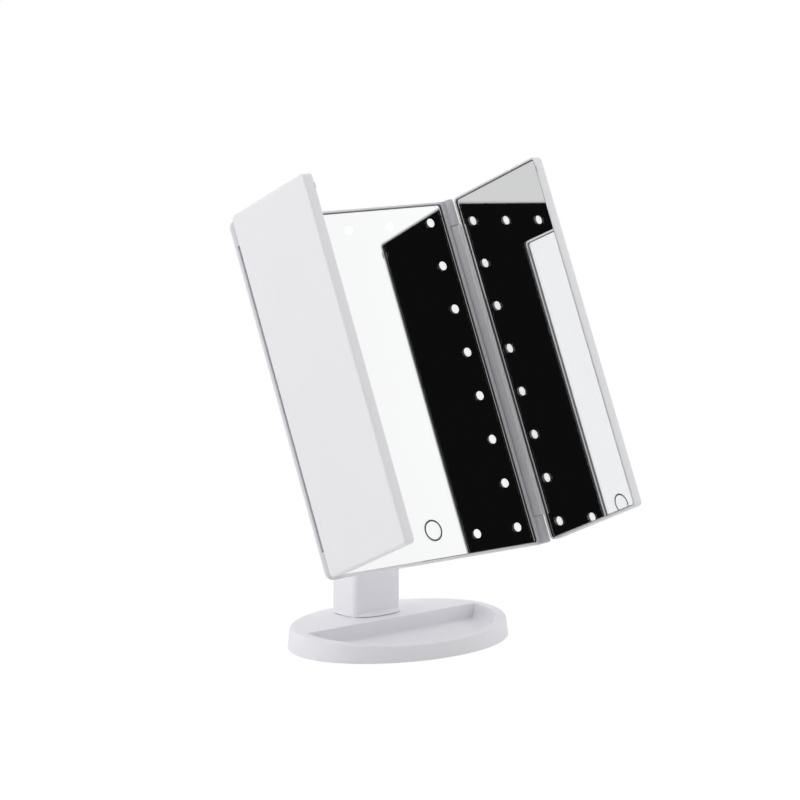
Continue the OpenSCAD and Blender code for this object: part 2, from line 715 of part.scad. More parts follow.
module battery_door() color(white) {
    slack = 0.2;
    low = tub_low - groove + slack;
    high = box_high;
    difference() {
        union() {
            block([tub_x0 - groove + slack, box_back - door_t + slack, low],
                [tub_x1 + groove - slack, box_back - lip_t - slack, high]);
            block([tub_x0 + slack, box_back - door_t + slack, low],
                [tub_x1 - slack, box_back, high]);
        }
        // The finger grooves.
        for (k = [0:4]) translate([(tub_x0 + tub_x1) / 2, box_back + 0.4, high - 9 - 2.2 * k])
            rotate([0, 90, 0]) cylinder(r = 0.9, h = 18, center = true);
    }
}

// ---------------------------------------------------------------- hinges

module hinge_pins() color(steel)
    for (sx = [-1, 1], sz = [-1, 1])
        translate([sx * hinge_x, -hinge_fwd, sz * (long_z + (pin_in_knuckle - pin_in_barrel) / 2)])
            cylinder(d = pin_d, h = pin_in_knuckle + pin_in_barrel, center = true);

module along_axle() translate([0, pivot_back, -pivot_drop]) rotate([0, 90, 0]) children();

module tilt_axle() color(steel) along_axle() {
    translate([0, 0, -(ear_out - pocket)]) cylinder(d = axle_d, h = 2 * (ear_out - pocket) + head_t);
    translate([0, 0, -(ear_out - pocket) - head_t]) cylinder(d = 1.7 * axle_d, h = head_t);
}

module axle_nut() color(steel) along_axle() difference() {
    translate([0, 0, ear_out - pocket]) cylinder(d = 1.9 * axle_d, h = head_t, $fn = 6);
    cylinder(d = axle_d + 2 * run, h = far);
}

module friction_washers() color([0.5, 0.45, 0.4]) along_axle() for (sx = [-1, 1]) difference() {
    translate([0, 0, sx * (col_w / 2 + run + washer_t / 2)])
        cylinder(d = 2.6 * axle_d, h = washer_t, center = true);
    cylinder(d = axle_d + 2 * run, h = far, center = true);
}

module axle_caps() color(white) along_axle() for (sx = [-1, 1])
    translate([0, 0, sx * (ear_out - cap_t / 2)])
        cylinder(d = pocket_d - 2 * seat, h = cap_t, center = true);

// ---------------------------------------------------------------- wings

// All in the wing's own frame. Its glass lies a little behind the hinge axis,
// so that it is nearly flush with the centre glass when the wing is flat.
wing_glass_y = hinge_fwd - 0.2;
wing_front = wing_glass_y - rim_proud;
wing_back = wing_glass_y + wing_d;
// Inner end of the wing's box: it clears the panel's side when flat.
wing_root = hinge_inset + 0.35;
wing_glass_x0 = wing_root + 1.3;
wing_glass_x1 = wing_reach - wing_rim;
wing_glass_mid = (wing_glass_x0 + wing_glass_x1) / 2;
wing_glass_w = wing_glass_x1 - wing_glass_x0 - 2 * seat;
wing_glass_h = panel_h - 2 * rim - 2 * gap;
web_back = barrel_r - 0.1;
// The web's front passes just over the panel's rim when the wing is shut.
web_front = rim_proud + gap - hinge_fwd;
wing_floor = wing_back - wing_wall;
tape_y = wing_glass_y + glass_t + silver_t;

module wing_shell() color(white) difference() {
    union() {
        soft_box(wing_root, wing_reach, -half_h, half_h, wing_front, wing_back, 3, wing_round);
        // The long barrel and the web that carries it.
        cylinder(r = barrel_r, h = 2 * long_z, center = true);
        block([0, web_front, -long_z], [wing_root, web_back, long_z]);
        block([wing_root - 1, wing_front + gap, -long_z], [wing_root + 1, web_back, long_z]);
    }
    // The seat of the glass, and the hollow behind it.
    translate([wing_glass_mid, 0, 0])
        plate(wing_glass_w + 2 * seat, wing_glass_h + 2 * seat, glass_corner, -far, far + tape_y + tape_t);
    for (sz = [-1, 1]) translate([wing_glass_mid, 0, sz * (wing_glass_h / 4)])
        plate(wing_glass_w - 2 * tape_w, wing_glass_h / 2 - 2 * tape_w, 2, 0, wing_floor);
    // The pins' holes in both ends of the long barrel.
    for (sz = [-1, 1]) translate([0, 0, sz * long_z])
        cylinder(d = pin_d + 2 * run, h = 2 * pin_in_barrel + 1, center = true);
    wing_bumper();
}

module wing_mirror() color([0.8, 0.86, 0.88, 0.5]) translate([wing_glass_mid, 0, 0])
    plate(wing_glass_w, wing_glass_h, glass_corner, wing_glass_y, glass_t);

module wing_silver() color([0.82, 0.83, 0.85]) translate([wing_glass_mid, 0, 0])
    plate(wing_glass_w - 1, wing_glass_h - 1, glass_corner, wing_glass_y + glass_t, silver_t);

module wing_tape() color([0.9, 0.9, 0.9]) translate([wing_glass_mid, 0, 0]) difference() {
    plate(wing_glass_w - 1, wing_glass_h - 1, glass_corner, tape_y, tape_t);
    for (sz = [-1, 1]) translate([0, 0, sz * wing_glass_h / 4])
        plate(wing_glass_w - 2 * tape_w, wing_glass_h / 2 - 2 * tape_w, 2, 0, far);
}

// A soft stop let into the rim of the free edge, near its top corner.
bumper_l = 4;
bumper_sunk = 1;
bumper_proud = 0.5;
bumper_down = 8.5;
module wing_bumper() color([0.6, 0.6, 0.61])
    block([wing_reach - wing_rim + 0.2, wing_front - bumper_proud, half_h - bumper_down - bumper_l / 2],
        [wing_reach - 0.2, wing_front + bumper_sunk, half_h - bumper_down + bumper_l / 2]);

// ---------------------------------------------------------------- assembly

base_shell();
base_plate();
base_pad();
base_screws();
column();
column_screws();
tilt_bushes();
head_place() front_frame();
head_place() centre_mirror();
head_place() centre_silver();
head_place() centre_tape();
head_place() touch_ring();
head_place() touch_foam();
head_place() touch_board();
head_place() light_pipes();
head_place() led_chips();
head_place() led_boards();
head_place() rear_cover();
head_place() case_screws();
head_place() battery_cells();
head_place() battery_contacts();
head_place() driver_board();
head_place() usb_socket();
head_place() switch_housing();
head_place() hinge_pins();
head_place() tilt_axle();
head_place() axle_nut();
head_place() friction_washers();
head_place() axle_caps();
head_place() power_switch();
head_place() battery_door();
wing_place(-1, left_fold) wing_shell();  // left_wing_shell
wing_place(-1, left_fold) wing_mirror();  // left_wing_mirror
wing_place(-1, left_fold) wing_silver();  // left_wing_silver
wing_place(-1, left_fold) wing_tape();  // left_wing_tape
wing_place(-1, left_fold) wing_bumper();  // left_wing_bumper
wing_place(1, right_fold) wing_shell();  // right_wing_shell
wing_place(1, right_fold) wing_mirror();  // right_wing_mirror
wing_place(1, right_fold) wing_silver();  // right_wing_silver
wing_place(1, right_fold) wing_tape();  // right_wing_tape
wing_place(1, right_fold) wing_bumper();  // right_wing_bumper
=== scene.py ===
"""A trifold vanity mirror on its oval tray base, in a plain white studio.

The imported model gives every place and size. The base, the wings' shells and the
glass are made again here as finer surfaces, each a formula on a grid.
"""

import json
import math

import bpy
import numpy as np
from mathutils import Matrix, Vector


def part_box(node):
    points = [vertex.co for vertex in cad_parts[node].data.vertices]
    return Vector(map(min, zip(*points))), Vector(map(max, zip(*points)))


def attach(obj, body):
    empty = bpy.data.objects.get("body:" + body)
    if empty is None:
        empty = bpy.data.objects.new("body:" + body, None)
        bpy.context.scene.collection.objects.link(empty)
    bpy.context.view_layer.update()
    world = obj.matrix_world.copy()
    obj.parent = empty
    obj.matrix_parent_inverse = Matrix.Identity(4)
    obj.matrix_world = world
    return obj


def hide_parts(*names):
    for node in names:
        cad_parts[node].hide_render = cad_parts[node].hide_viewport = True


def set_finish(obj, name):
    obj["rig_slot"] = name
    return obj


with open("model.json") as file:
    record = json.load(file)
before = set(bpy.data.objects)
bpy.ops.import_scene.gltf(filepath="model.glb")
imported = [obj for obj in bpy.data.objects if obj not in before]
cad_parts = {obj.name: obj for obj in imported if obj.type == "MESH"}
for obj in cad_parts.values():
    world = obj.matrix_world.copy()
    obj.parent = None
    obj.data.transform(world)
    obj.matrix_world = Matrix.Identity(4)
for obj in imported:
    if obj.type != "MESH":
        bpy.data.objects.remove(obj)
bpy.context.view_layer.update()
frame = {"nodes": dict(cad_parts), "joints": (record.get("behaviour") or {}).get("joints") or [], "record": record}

MM = 0.001
INSIDE = 0.02 * MM         # keeps a new surface just inside the model's own
LAND = 0.5 * MM            # flat band beside a rounded edge, which keeps its shading flat
SHARP = 0.02 * MM          # least radius of a corner that is drawn in


# ------------------------------------------------------------- places

class Place:
    """A part's own upright frame, in metres: +x across it, +y to its back and +z up it.
    hand is -1 where that frame is a mirror image, as the left wing's is."""

    def __init__(self, origin, across, up, hand=1):
        self.origin = np.array(origin, float)
        up = np.array(up, float) / np.linalg.norm(up)
        across = np.array(across, float) - np.dot(across, up) * up
        across /= np.linalg.norm(across)
        self.axes = np.stack([across, hand * np.cross(up, across), up])

    def world(self, points):
        return np.asarray(points, float) @ self.axes + self.origin

    def own(self, points):
        return (np.asarray(points, float) - self.origin) @ self.axes.T

    def extent(self, node):
        """Lowest and highest corners of a CAD node along this place's own axes."""
        points = self.own(node_points(node))
        return points.min(0), points.max(0)


def node_points(node):
    """All the points of a CAD node, as an array."""
    mesh = frame["nodes"][node].data
    points = np.empty(len(mesh.vertices) * 3, np.float32)
    mesh.vertices.foreach_get("co", points)
    return points.reshape(-1, 3).astype(float)


def joint(name):
    return next(j for j in frame["joints"] if j["name"] == name)


def panel_place():
    """The head's frame: its origin is on the front of the centre glass, amid it."""
    up = joint("left_wing_hinge")["axis"]
    place = Place((0, 0, 0), (1, 0, 0), up)
    low, high = place.extent("centre_mirror")
    return Place(place.world([(0, low[1], (low[2] + high[2]) / 2)])[0], (1, 0, 0), up)


def wing_place(side):
    """A wing's frame: the hinge axis is its z, and x runs out along its glass.
    The glass's long way across the hinge is the first principal axis of its points."""
    hinge = joint(f"{side}_wing_hinge")
    up = np.array(joint("left_wing_hinge")["axis"], float)
    points = node_points(f"{side}_wing_mirror") - np.array(hinge["pos_m"])
    flat = points - np.outer(points @ up, up)
    spread = np.linalg.svd(flat - flat.mean(0), full_matrices=False)[2][0]
    return Place(hinge["pos_m"], spread * np.sign(flat.mean(0) @ spread), up,
                 -1 if side == "left" else 1)


PANEL = panel_place()
WINGS = {side: wing_place(side) for side in ("left", "right")}


# ------------------------------------------------------------- surfaces

def quads_between(rings, points):
    """Faces of a grid that is closed round each ring, as an index array."""
    k, j = np.meshgrid(np.arange(rings - 1), np.arange(points), indexing="ij")
    a = k * points + j
    b = k * points + (j + 1) % points
    return np.stack([a, b, b + points, a + points], -1).reshape(-1, 4)


def signed_volume(points, quads, caps):
    """Volume inside a skin by the divergence theorem: a sixth of the sum of the
    triple products of its triangles, negative when the skin is inside out."""
    triangles = [points[quads[:, [0, 1, 2]]], points[quads[:, [0, 2, 3]]]]
    for cap in caps:
        fan = np.stack([np.full(len(cap) - 2, cap[0]), cap[1:-1], cap[2:]], -1)
        triangles.append(points[fan])
    t = np.concatenate(triangles)
    return np.einsum("ij,ij->", t[:, 0], np.cross(t[:, 1], t[:, 2])) / 6


def put(thing):
    """Links an object to the scene."""
    bpy.context.scene.collection.objects.link(thing)
    return thing


def new_piece(name, points, faces, body, slot):
    """An object made of points and faces. It rides on a body and has a slot's finish."""
    mesh = bpy.data.meshes.new(name)
    mesh.from_pydata(points.tolist(), [], faces)
    piece = put(bpy.data.objects.new(name, mesh))
    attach(piece, body)
    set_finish(piece, slot)
    return piece


def skin(name, stacks, body, slot, replaces=(), crease=32):
    """One piece from stacks of rings, each an array [ring, point, xyz].
    Neighbouring rings are joined by quads and both end rings are closed flat."""
    points, faces, start = [], [], 0
    for rings in stacks:
        count, around = rings.shape[:2]
        own = rings.reshape(-1, 3)
        quads = quads_between(count, around)
        caps = [np.arange(around)[::-1], np.arange((count - 1) * around, count * around)]
        if signed_volume(own, quads, caps) < 0:
            quads, caps = quads[:, ::-1], [cap[::-1] for cap in caps]
        faces += (quads + start).tolist() + [(cap + start).tolist() for cap in caps]
        points.append(own)
        start += len(own)
    piece = new_piece(name, np.concatenate(points), faces, body, slot)
    piece.data.polygons.foreach_set("use_smooth", np.ones(len(faces), bool))
    piece.data.set_sharp_from_angle(angle=math.radians(crease))
    if replaces:
        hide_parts(*replaces)
    return piece


def open_band(name, rings, body, slot):
    """A band whose profile closes on itself, so that it has no caps."""
    count, around = rings.shape[:2]
    quads = quads_between(count + 1, around) % (count * around)
    points = rings.reshape(-1, 3)
    if signed_volume(points, quads, []) < 0:
        quads = quads[:, ::-1]
    return new_piece(name, points, quads.tolist(), body, slot)


def quarter(steps=6):
    """Angles over a quarter turn."""
    return np.linspace(0, np.pi / 2, steps + 1)


def rounded_rect(low, high, radius, steps=7):
    """A rectangle's outline with an arc at each corner: centre + radius * (cos, sin)
    over a quarter turn, one corner after another."""
    (x0, z0), (x1, z1) = low, high
    turn = quarter(steps)
    corners = ((x1 - radius, z1 - radius), (x0 + radius, z1 - radius),
               (x0 + radius, z0 + radius), (x1 - radius, z0 + radius))
    arcs = [np.stack([cx + radius * np.cos(turn + k * np.pi / 2),
                      cz + radius * np.sin(turn + k * np.pi / 2)], -1)
            for k, (cx, cz) in enumerate(corners)]
    return np.concatenate(arcs)


def upright_ring(low, high, radius, inset, y):
    """A rounded rectangle drawn in by inset, standing in the plane y."""
    low, high = np.array(low) + inset, np.array(high) - inset
    outline = rounded_rect(low, high, max(radius - inset, SHARP))
    return np.insert(outline, 1, y, axis=1)


def lathe(profile, centre, along, steps=40):
    """A profile of (radius, height) pairs turned about the line through centre."""
    turn = np.linspace(0, 2 * np.pi, steps, endpoint=False)
    along = np.array(along, float) / np.linalg.norm(along)
    side = np.cross(along, (0.3, 0.5, 0.81))      # any line but the axis gives a side
    side /= np.linalg.norm(side)
    spoke = np.outer(np.cos(turn), side) + np.outer(np.sin(turn), np.cross(along, side))
    radius, height = np.array(profile, float).T
    return (np.array(centre, float) + radius[:, None, None] * spoke
            + height[:, None, None] * along)


# ------------------------------------------------------------- the base

TRAY_RIM = 8.4 * MM
TRAY_BACK = 6.5 * MM       # the tray's straight back wall, behind the base's middle
TRAY_FLOOR = 3.9 * MM      # above the table
RIM_FALL = 3.6 * MM        # from the tray's back wall to the base's front
BASE_DRAFT = 1.3 * MM
BASE_WALL = 2.2 * MM
BASE_EDGE = 1.5 * MM
WALL_RETURN = 1.4 * MM     # how far the wall's inner face is carried up
FOOT_CHAMFER = 0.3 * MM
TRAY_LIP = 0.6 * MM
LIP_LAND = 0.4 * MM
TRAY_DRAFT = 0.6 * MM
CHORD_DRAFT = 0.1 * MM
ARC_FILLET = 4.2 * MM
CHORD_FILLET = 1.6 * MM


def oval(a, b, angles):
    """Points of an ellipse, a * cos and b * sin."""
    return np.stack([a * np.cos(angles), b * np.sin(angles)], -1)


def tray_outline(a, b, back, arc_steps, chord_steps):
    """A D: the front arc of an ellipse, closed by a straight line at y = back."""
    corner = math.asin(back / b)
    arc = np.linspace(np.pi - corner, 2 * np.pi + corner, arc_steps, endpoint=False)
    chord = np.linspace(a * math.cos(corner), -a * math.cos(corner), chord_steps,
                        endpoint=False)
    return np.concatenate([oval(a, b, arc),
                           np.stack([chord, np.full(chord_steps, back)], -1)])


def base_body():
    """The base: an ellipse carried up its leaning side and over a rounded edge, across
    the rim to the tray's D outline, and down the tray's wall to its floor. Each ring
    below the tray's lip lies level: at a height h above the floor a fillet of radius r
    draws it in by r - sqrt(h * (2 * r - h))."""
    low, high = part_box("base_shell")
    a, b, foot, top = high.x, high.y, low.z, high.z
    arc_steps, chord_steps = 160, 64
    corner = math.asin(TRAY_BACK / (b - TRAY_RIM))
    angles = np.concatenate([
        np.linspace(np.pi - corner, 2 * np.pi + corner, arc_steps, endpoint=False),
        np.linspace(corner, np.pi - corner, chord_steps, endpoint=False)])

    def lift(outline, z, falls):
        fall = falls * RIM_FALL * np.maximum(0, TRAY_BACK - outline[:, 1]) / (b + TRAY_BACK)
        return np.column_stack([outline, z - fall])

    def outer(inset, z, falls=1):
        return lift(oval(a - inset, b - inset, angles), z, falls)

    def inner(arc_in, chord_in, z, falls=1):
        rim = TRAY_RIM + arc_in
        outline = tray_outline(a - rim, b - rim, TRAY_BACK - chord_in, arc_steps, chord_steps)
        return lift(outline, z, falls)

    def drawn_in(radius, h):
        h = min(h, radius)
        return radius - math.sqrt(h * (2 * radius - h))

    turn = quarter(7)
    rings = [outer(BASE_WALL, foot + WALL_RETURN, 0), outer(BASE_WALL, foot, 0),
             outer(FOOT_CHAMFER, foot, 0), outer(INSIDE, foot + FOOT_CHAMFER, 0)]
    rings += [outer(BASE_DRAFT + BASE_EDGE * (1 - math.cos(t)), top - BASE_EDGE * (1 - math.sin(t)))
              for t in turn]
    lip_start = -TRAY_LIP - LIP_LAND
    rings += [outer(BASE_DRAFT + BASE_EDGE + LAND, top), inner(lip_start, lip_start, top)]
    for t in turn:
        into = TRAY_LIP * (math.sin(t) - 1)
        rings.append(inner(into, into, top - TRAY_LIP * (1 - math.cos(t))))
    for t in quarter(14):
        h = ARC_FILLET * (1 - math.sin(t))
        rings.append(inner(TRAY_DRAFT + drawn_in(ARC_FILLET, h),
                           CHORD_DRAFT + drawn_in(CHORD_FILLET, h), TRAY_FLOOR + h, 0))
    rings.append(inner(TRAY_DRAFT + ARC_FILLET + LAND, CHORD_DRAFT + CHORD_FILLET + LAND,
                       TRAY_FLOOR, 0))
    return skin("base_body", [np.array(rings)], "stand", "white_shell", ["base_shell"])


# ------------------------------------------------------------- the wings

WING_FACE = 1.3 * MM       # from the wing's hinge axis back to its glass
WING_ROOT = 3.85 * MM      # from the hinge axis out to the shell's near edge
WING_ROUND = 1.5 * MM
WING_CORNER = 3 * MM
WING_SKIN = 1.6 * MM       # the shell's wall behind its hollow
BACK_LAND = 0.4 * MM
RIM_PROUD = 0.3 * MM       # the rim's front before the glass's
RIM_SOFT = 0.25 * MM
POCKET_LIP = 0.1 * MM
GLASS_FIT = 0.15 * MM
GLASS_CORNER = 2 * MM
TAPE = 5 * MM              # the width of the ledge that the glass is taped to
BARREL = 3.2 * MM
BARREL_HALF = 100.5 * MM
BARREL_CHAMFER = 0.3 * MM
PIN_HOLE = 1.3 * MM
PIN_HOLE_SHOWN = 2 * MM    # how deep each pin's hole is carried in
WEB_FRONT = -0.9 * MM      # the web joins the shell to its barrel, measured from the axis
WEB_INTO_SHELL = 0.6 * MM
WEB_UNDER_BARREL = 0.1 * MM
WEB_SHORT = 0.05 * MM      # at each end of the barrel
WEB_ROUND = 0.3 * MM


def wing_case(side, place):
    """A wing's shell: a rounded rectangle carried from the floor of its hollow over
    the ledge, the rim and the side, round the rear edge to the back. Its barrel is a
    turned profile, and the web that joins them is a rounded bar."""
    shell_low, shell_high = place.extent(f"{side}_wing_shell")
    glass_low, glass_high = place.extent(f"{side}_wing_mirror")
    tape_high = place.extent(f"{side}_wing_tape")[1]
    low, high = (WING_ROOT, shell_low[2]), (shell_high[0], shell_high[2])
    front = WING_FACE - RIM_PROUD
    back = shell_high[1]
    pocket = ((glass_low[0] - GLASS_FIT, glass_low[2] - GLASS_FIT),
              (glass_high[0] + GLASS_FIT, glass_high[2] + GLASS_FIT))
    turn = quarter()
    rings = [upright_ring(*pocket, GLASS_CORNER, inset, y)
             for inset, y in ((TAPE, back - WING_SKIN), (TAPE, tape_high[1]), (0, tape_high[1]),
                              (0, front + POCKET_LIP), (-POCKET_LIP, front))]
    rings += [upright_ring(low, high, WING_CORNER, RIM_SOFT * (1 - math.sin(t)),
                           front + RIM_SOFT * (1 - math.cos(t))) for t in turn]
    rings += [upright_ring(low, high, WING_CORNER, WING_ROUND * (1 - math.cos(t)),
                           back - WING_ROUND * (1 - math.sin(t))) for t in turn]
    rings.append(upright_ring(low, high, WING_CORNER, WING_ROUND + BACK_LAND, back))
    end = [(PIN_HOLE, BARREL_HALF - PIN_HOLE_SHOWN), (PIN_HOLE, BARREL_HALF),
           (BARREL - BARREL_CHAMFER, BARREL_HALF), (BARREL, BARREL_HALF - BARREL_CHAMFER)]
    barrel = lathe([(r, -z) for r, z in end] + end[::-1], (0, 0, 0), (0, 0, 1))
    outline = rounded_rect((0, WEB_FRONT), (WING_ROOT + WEB_INTO_SHELL, BARREL - WEB_UNDER_BARREL),
                           WEB_ROUND, 4)
    tip = BARREL_HALF - WEB_SHORT
    web = np.array([np.insert(outline, 2, z, axis=1) for z in (-tip, tip)])
    stacks = [place.world(s) for s in (np.array(rings), barrel, web)]
    return skin(f"{side}_wing_case", stacks, f"{side}_wing", "white_shell",
                [f"{side}_wing_shell"])


# ------------------------------------------------------------- the glass

ARRIS = 0.25 * MM
SINK = 0.03 * MM           # how far the glass reaches past the face of its silver
PAINT_START = 0.05 * MM    # from the arris back
PAINT_SIDE = 0.03 * MM     # the paint's thickness on the glass's side
PAINT_BACK = 0.5 * SINK    # and on its back, where it starts at PAINT_LIFT
PAINT_LIFT = 0.2 * SINK
PAINT_BORDER = 0.7 * MM


def glass(name, place, node, body):
    """A sheet of glass with a ground arris on every edge, drawn round its outline
    from the front face to the back. It takes in the face of the silver behind it."""
    low, high = place.extent(node)
    box = (low[0], low[2]), (high[0], high[2])
    back = high[1] + SINK
    rings = [upright_ring(*box, GLASS_CORNER, inset, y)
             for inset, y in ((ARRIS + LAND, low[1]), (ARRIS, low[1]), (0, low[1] + ARRIS),
                              (0, back - ARRIS), (ARRIS, back), (ARRIS + LAND, back))]
    return skin(name, [place.world(np.array(rings))], body, "mirror_glass", [node], crease=20)


def edge_paint(name, place, node, body):
    """The dark sealing paint on the glass's edge and along the silver's border:
    a thin strip just inside the glass's side, folded in over its back."""
    low, high = place.extent(node)
    box = (low[0], low[2]), (high[0], high[2])
    front, back = low[1] + ARRIS + PAINT_START, high[1] + PAINT_LIFT
    behind = back + PAINT_BACK
    rings = [upright_ring(*box, GLASS_CORNER, inset, y)
             for inset, y in ((INSIDE, front), (INSIDE, behind), (PAINT_BORDER, behind),
                              (PAINT_BORDER, back), (INSIDE + PAINT_SIDE, back - INSIDE),
                              (INSIDE + PAINT_SIDE, front))]
    return open_band(name, place.world(np.array(rings)), body, "ring_grey")


# ------------------------------------------------------------- materials

def wire(links, *pairs):
    """Links each (output, input) pair of sockets."""
    for out, into in pairs:
        links.new(out, into)


def new_group(name, inputs, outputs):
    """An empty shader node group with named sockets: {name: (type, default)}."""
    group = bpy.data.node_groups.new(name, "ShaderNodeTree")
    for title, (kind, default) in inputs.items():
        socket = group.interface.new_socket(title, in_out="INPUT", socket_type=kind)
        socket.default_value = default
    for title, kind in outputs.items():
        group.interface.new_socket(title, in_out="OUTPUT", socket_type=kind)
    return group, group.nodes.new("NodeGroupInput"), group.nodes.new("NodeGroupOutput")


def mixer(nodes, kind):
    """A Mix node for sockets of a kind: its factor, its two ends and its result."""
    mix = nodes.new("ShaderNodeMix")
    mix.data_type = {"RGBA": "RGBA", "VALUE": "FLOAT"}[kind]
    first, second = [s for s in mix.inputs if s.type == kind and s.name in ("A", "B")]
    return mix.inputs["Factor"], first, second, next(s for s in mix.outputs if s.type == kind)


def moulded_grain_group():
    """Moulded grain: fine noise as height, on edges that are rounded in shading."""
    group, ins, outs = new_group(
        "moulded_grain",
        {"Grain size": ("NodeSocketFloat", 2200.0), "Depth": ("NodeSocketFloat", 0.05),
         "Edge": ("NodeSocketFloat", 0.0002)},
        {"Normal": "NodeSocketVector"})
    nodes = group.nodes
    place = nodes.new("ShaderNodeTexCoord")
    noise = nodes.new("ShaderNodeTexNoise")
    noise.inputs["Detail"].default_value = 3
    edge = nodes.new("ShaderNodeBevel")
    edge.samples = 4
    bump = nodes.new("ShaderNodeBump")
    bump.inputs["Distance"].default_value = 0.05 * MM
    wire(group.links,
         (place.outputs["Object"], noise.inputs["Vector"]),
         (ins.outputs["Grain size"], noise.inputs["Scale"]),
         (ins.outputs["Edge"], edge.inputs["Radius"]),
         (noise.outputs["Fac"], bump.inputs["Height"]),
         (ins.outputs["Depth"], bump.inputs["Strength"]),
         (edge.outputs["Normal"], bump.inputs["Normal"]),
         (bump.outputs["Normal"], outs.inputs["Normal"]))
    return group


def uneven_group():
    """A tone and a value that drift slowly over a surface between two ends."""
    group, ins, outs = new_group(
        "uneven",
        {"Patch size": ("NodeSocketFloat", 30.0),
         "Tone A": ("NodeSocketColor", (0.8, 0.8, 0.8, 1)),
         "Tone B": ("NodeSocketColor", (0.9, 0.9, 0.9, 1)),
         "Value A": ("NodeSocketFloat", 0.3), "Value B": ("NodeSocketFloat", 0.5)},
        {"Tone": "NodeSocketColor", "Value": "NodeSocketFloat"})
    nodes = group.nodes
    place = nodes.new("ShaderNodeTexCoord")
    noise = nodes.new("ShaderNodeTexNoise")
    noise.inputs["Detail"].default_value = 2
    ease = nodes.new("ShaderNodeMapRange")
    ease.inputs["From Min"].default_value = 0.3
    ease.inputs["From Max"].default_value = 0.7
    wire(group.links,
         (place.outputs["Object"], noise.inputs["Vector"]),
         (ins.outputs["Patch size"], noise.inputs["Scale"]),
         (noise.outputs["Fac"], ease.inputs["Value"]))
    for title, kind in (("Tone", "RGBA"), ("Value", "VALUE")):
        factor, first, second, result = mixer(nodes, kind)
        wire(group.links,
             (ease.outputs["Result"], factor),
             (ins.outputs[f"{title} A"], first),
             (ins.outputs[f"{title} B"], second),
             (result, outs.inputs[title]))
    return group


def painted_hinge_shade_group():
    """The shells' tone with painted shade round a hinge line, where the barrel and the rims beside it sit in the
    shade of the corner. A point's distance from the line through Point along Along is the length of a cross
    product: the painted shade is full out to Near and gone at Far."""
    group, ins, outs = new_group(
        "painted_hinge_shade",
        {"Shell": ("NodeSocketColor", (0.8, 0.8, 0.8, 1)),
         "Painted shade": ("NodeSocketColor", (0.6, 0.6, 0.6, 1)),
         "Point": ("NodeSocketVector", (0, 0, 0)), "Along": ("NodeSocketVector", (0, 0, 1)),
         "Near": ("NodeSocketFloat", 0.003), "Far": ("NodeSocketFloat", 0.004)},
        {"Tone": "NodeSocketColor"})
    nodes = group.nodes
    place = nodes.new("ShaderNodeTexCoord")
    reach, across, distance = [nodes.new("ShaderNodeVectorMath") for _ in range(3)]
    reach.operation, across.operation = "SUBTRACT", "CROSS_PRODUCT"
    distance.operation = "LENGTH"
    fade = nodes.new("ShaderNodeMapRange")
    factor, near_end, far_end, result = mixer(nodes, "RGBA")
    wire(group.links,
         (place.outputs["Object"], reach.inputs[0]),
         (ins.outputs["Point"], reach.inputs[1]),
         (reach.outputs["Vector"], across.inputs[0]),
         (ins.outputs["Along"], across.inputs[1]),
         (across.outputs["Vector"], distance.inputs[0]),
         (distance.outputs["Value"], fade.inputs["Value"]),
         (ins.outputs["Near"], fade.inputs["From Min"]),
         (ins.outputs["Far"], fade.inputs["From Max"]),
         (fade.outputs["Result"], factor),
         (ins.outputs["Painted shade"], near_end),
         (ins.outputs["Shell"], far_end),
         (result, outs.inputs["Tone"]))
    return group


GROUPS = {"moulded_grain": moulded_grain_group(), "uneven": uneven_group(),
          "painted_hinge_shade": painted_hinge_shade_group()}
# Each white's tone, how far it drifts and the two ends of its roughness.
SATIN_WHITE = ((0.87, 0.864, 0.892), 0.004, (0.36, 0.44))
# The stand is the same white plastic as the shells, painted lighter to stand in for more light on the base and the
# column.
STAND_WHITE_PAINTED_LIGHTER = ((0.898, 0.89, 0.925), 0.004, (0.36, 0.44))
# Painted shade: the grey on the hinge barrels and the rims beside them, standing in for the shade in the corners
# between the wings and the centre.
HINGE_PAINTED_SHADE = (0.63, 0.62, 0.655, 1)
# From a hinge line, where its painted shade is still full and where it has gone.
FRAME_PAINTED_SHADE = (4.5 * MM, 9 * MM)
WING_PAINTED_SHADE = (BARREL + 0.05 * MM, BARREL + 0.3 * MM)


def placed_group(nodes, title, values):
    """A shared group placed in a material, with its own values on its inputs."""
    node = nodes.new("ShaderNodeGroup")
    node.node_tree = GROUPS[title]
    for socket, value in values.items():
        node.inputs[socket].default_value = value
    return node


def surface(name, tone, drift=0.02, roughness=(0.4, 0.5), patch=25.0, grain=0.05,
            grain_size=2200.0, edge=0.2, **plain):
    """A Principled material on the shared groups. plain sets further sockets."""
    material = bpy.data.materials.new(name)
    material.use_nodes = True
    nodes, links = material.node_tree.nodes, material.node_tree.links
    shader = nodes["Principled BSDF"]
    uneven = placed_group(nodes, "uneven", {
        "Patch size": patch,
        "Tone A": (*[c * (1 - drift) for c in tone], 1),
        "Tone B": (*[min(1, c * (1 + drift)) for c in tone], 1),
        "Value A": roughness[0], "Value B": roughness[1]})
    wire(links, (uneven.outputs["Tone"], shader.inputs["Base Color"]),
         (uneven.outputs["Value"], shader.inputs["Roughness"]))
    if grain:
        moulded = placed_group(nodes, "moulded_grain", {
            "Grain size": grain_size, "Depth": grain, "Edge": edge * MM})
        wire(links, (moulded.outputs["Normal"], shader.inputs["Normal"]))
    for socket, value in plain.items():
        shader.inputs[socket.replace("_", " ")].default_value = value
    return material


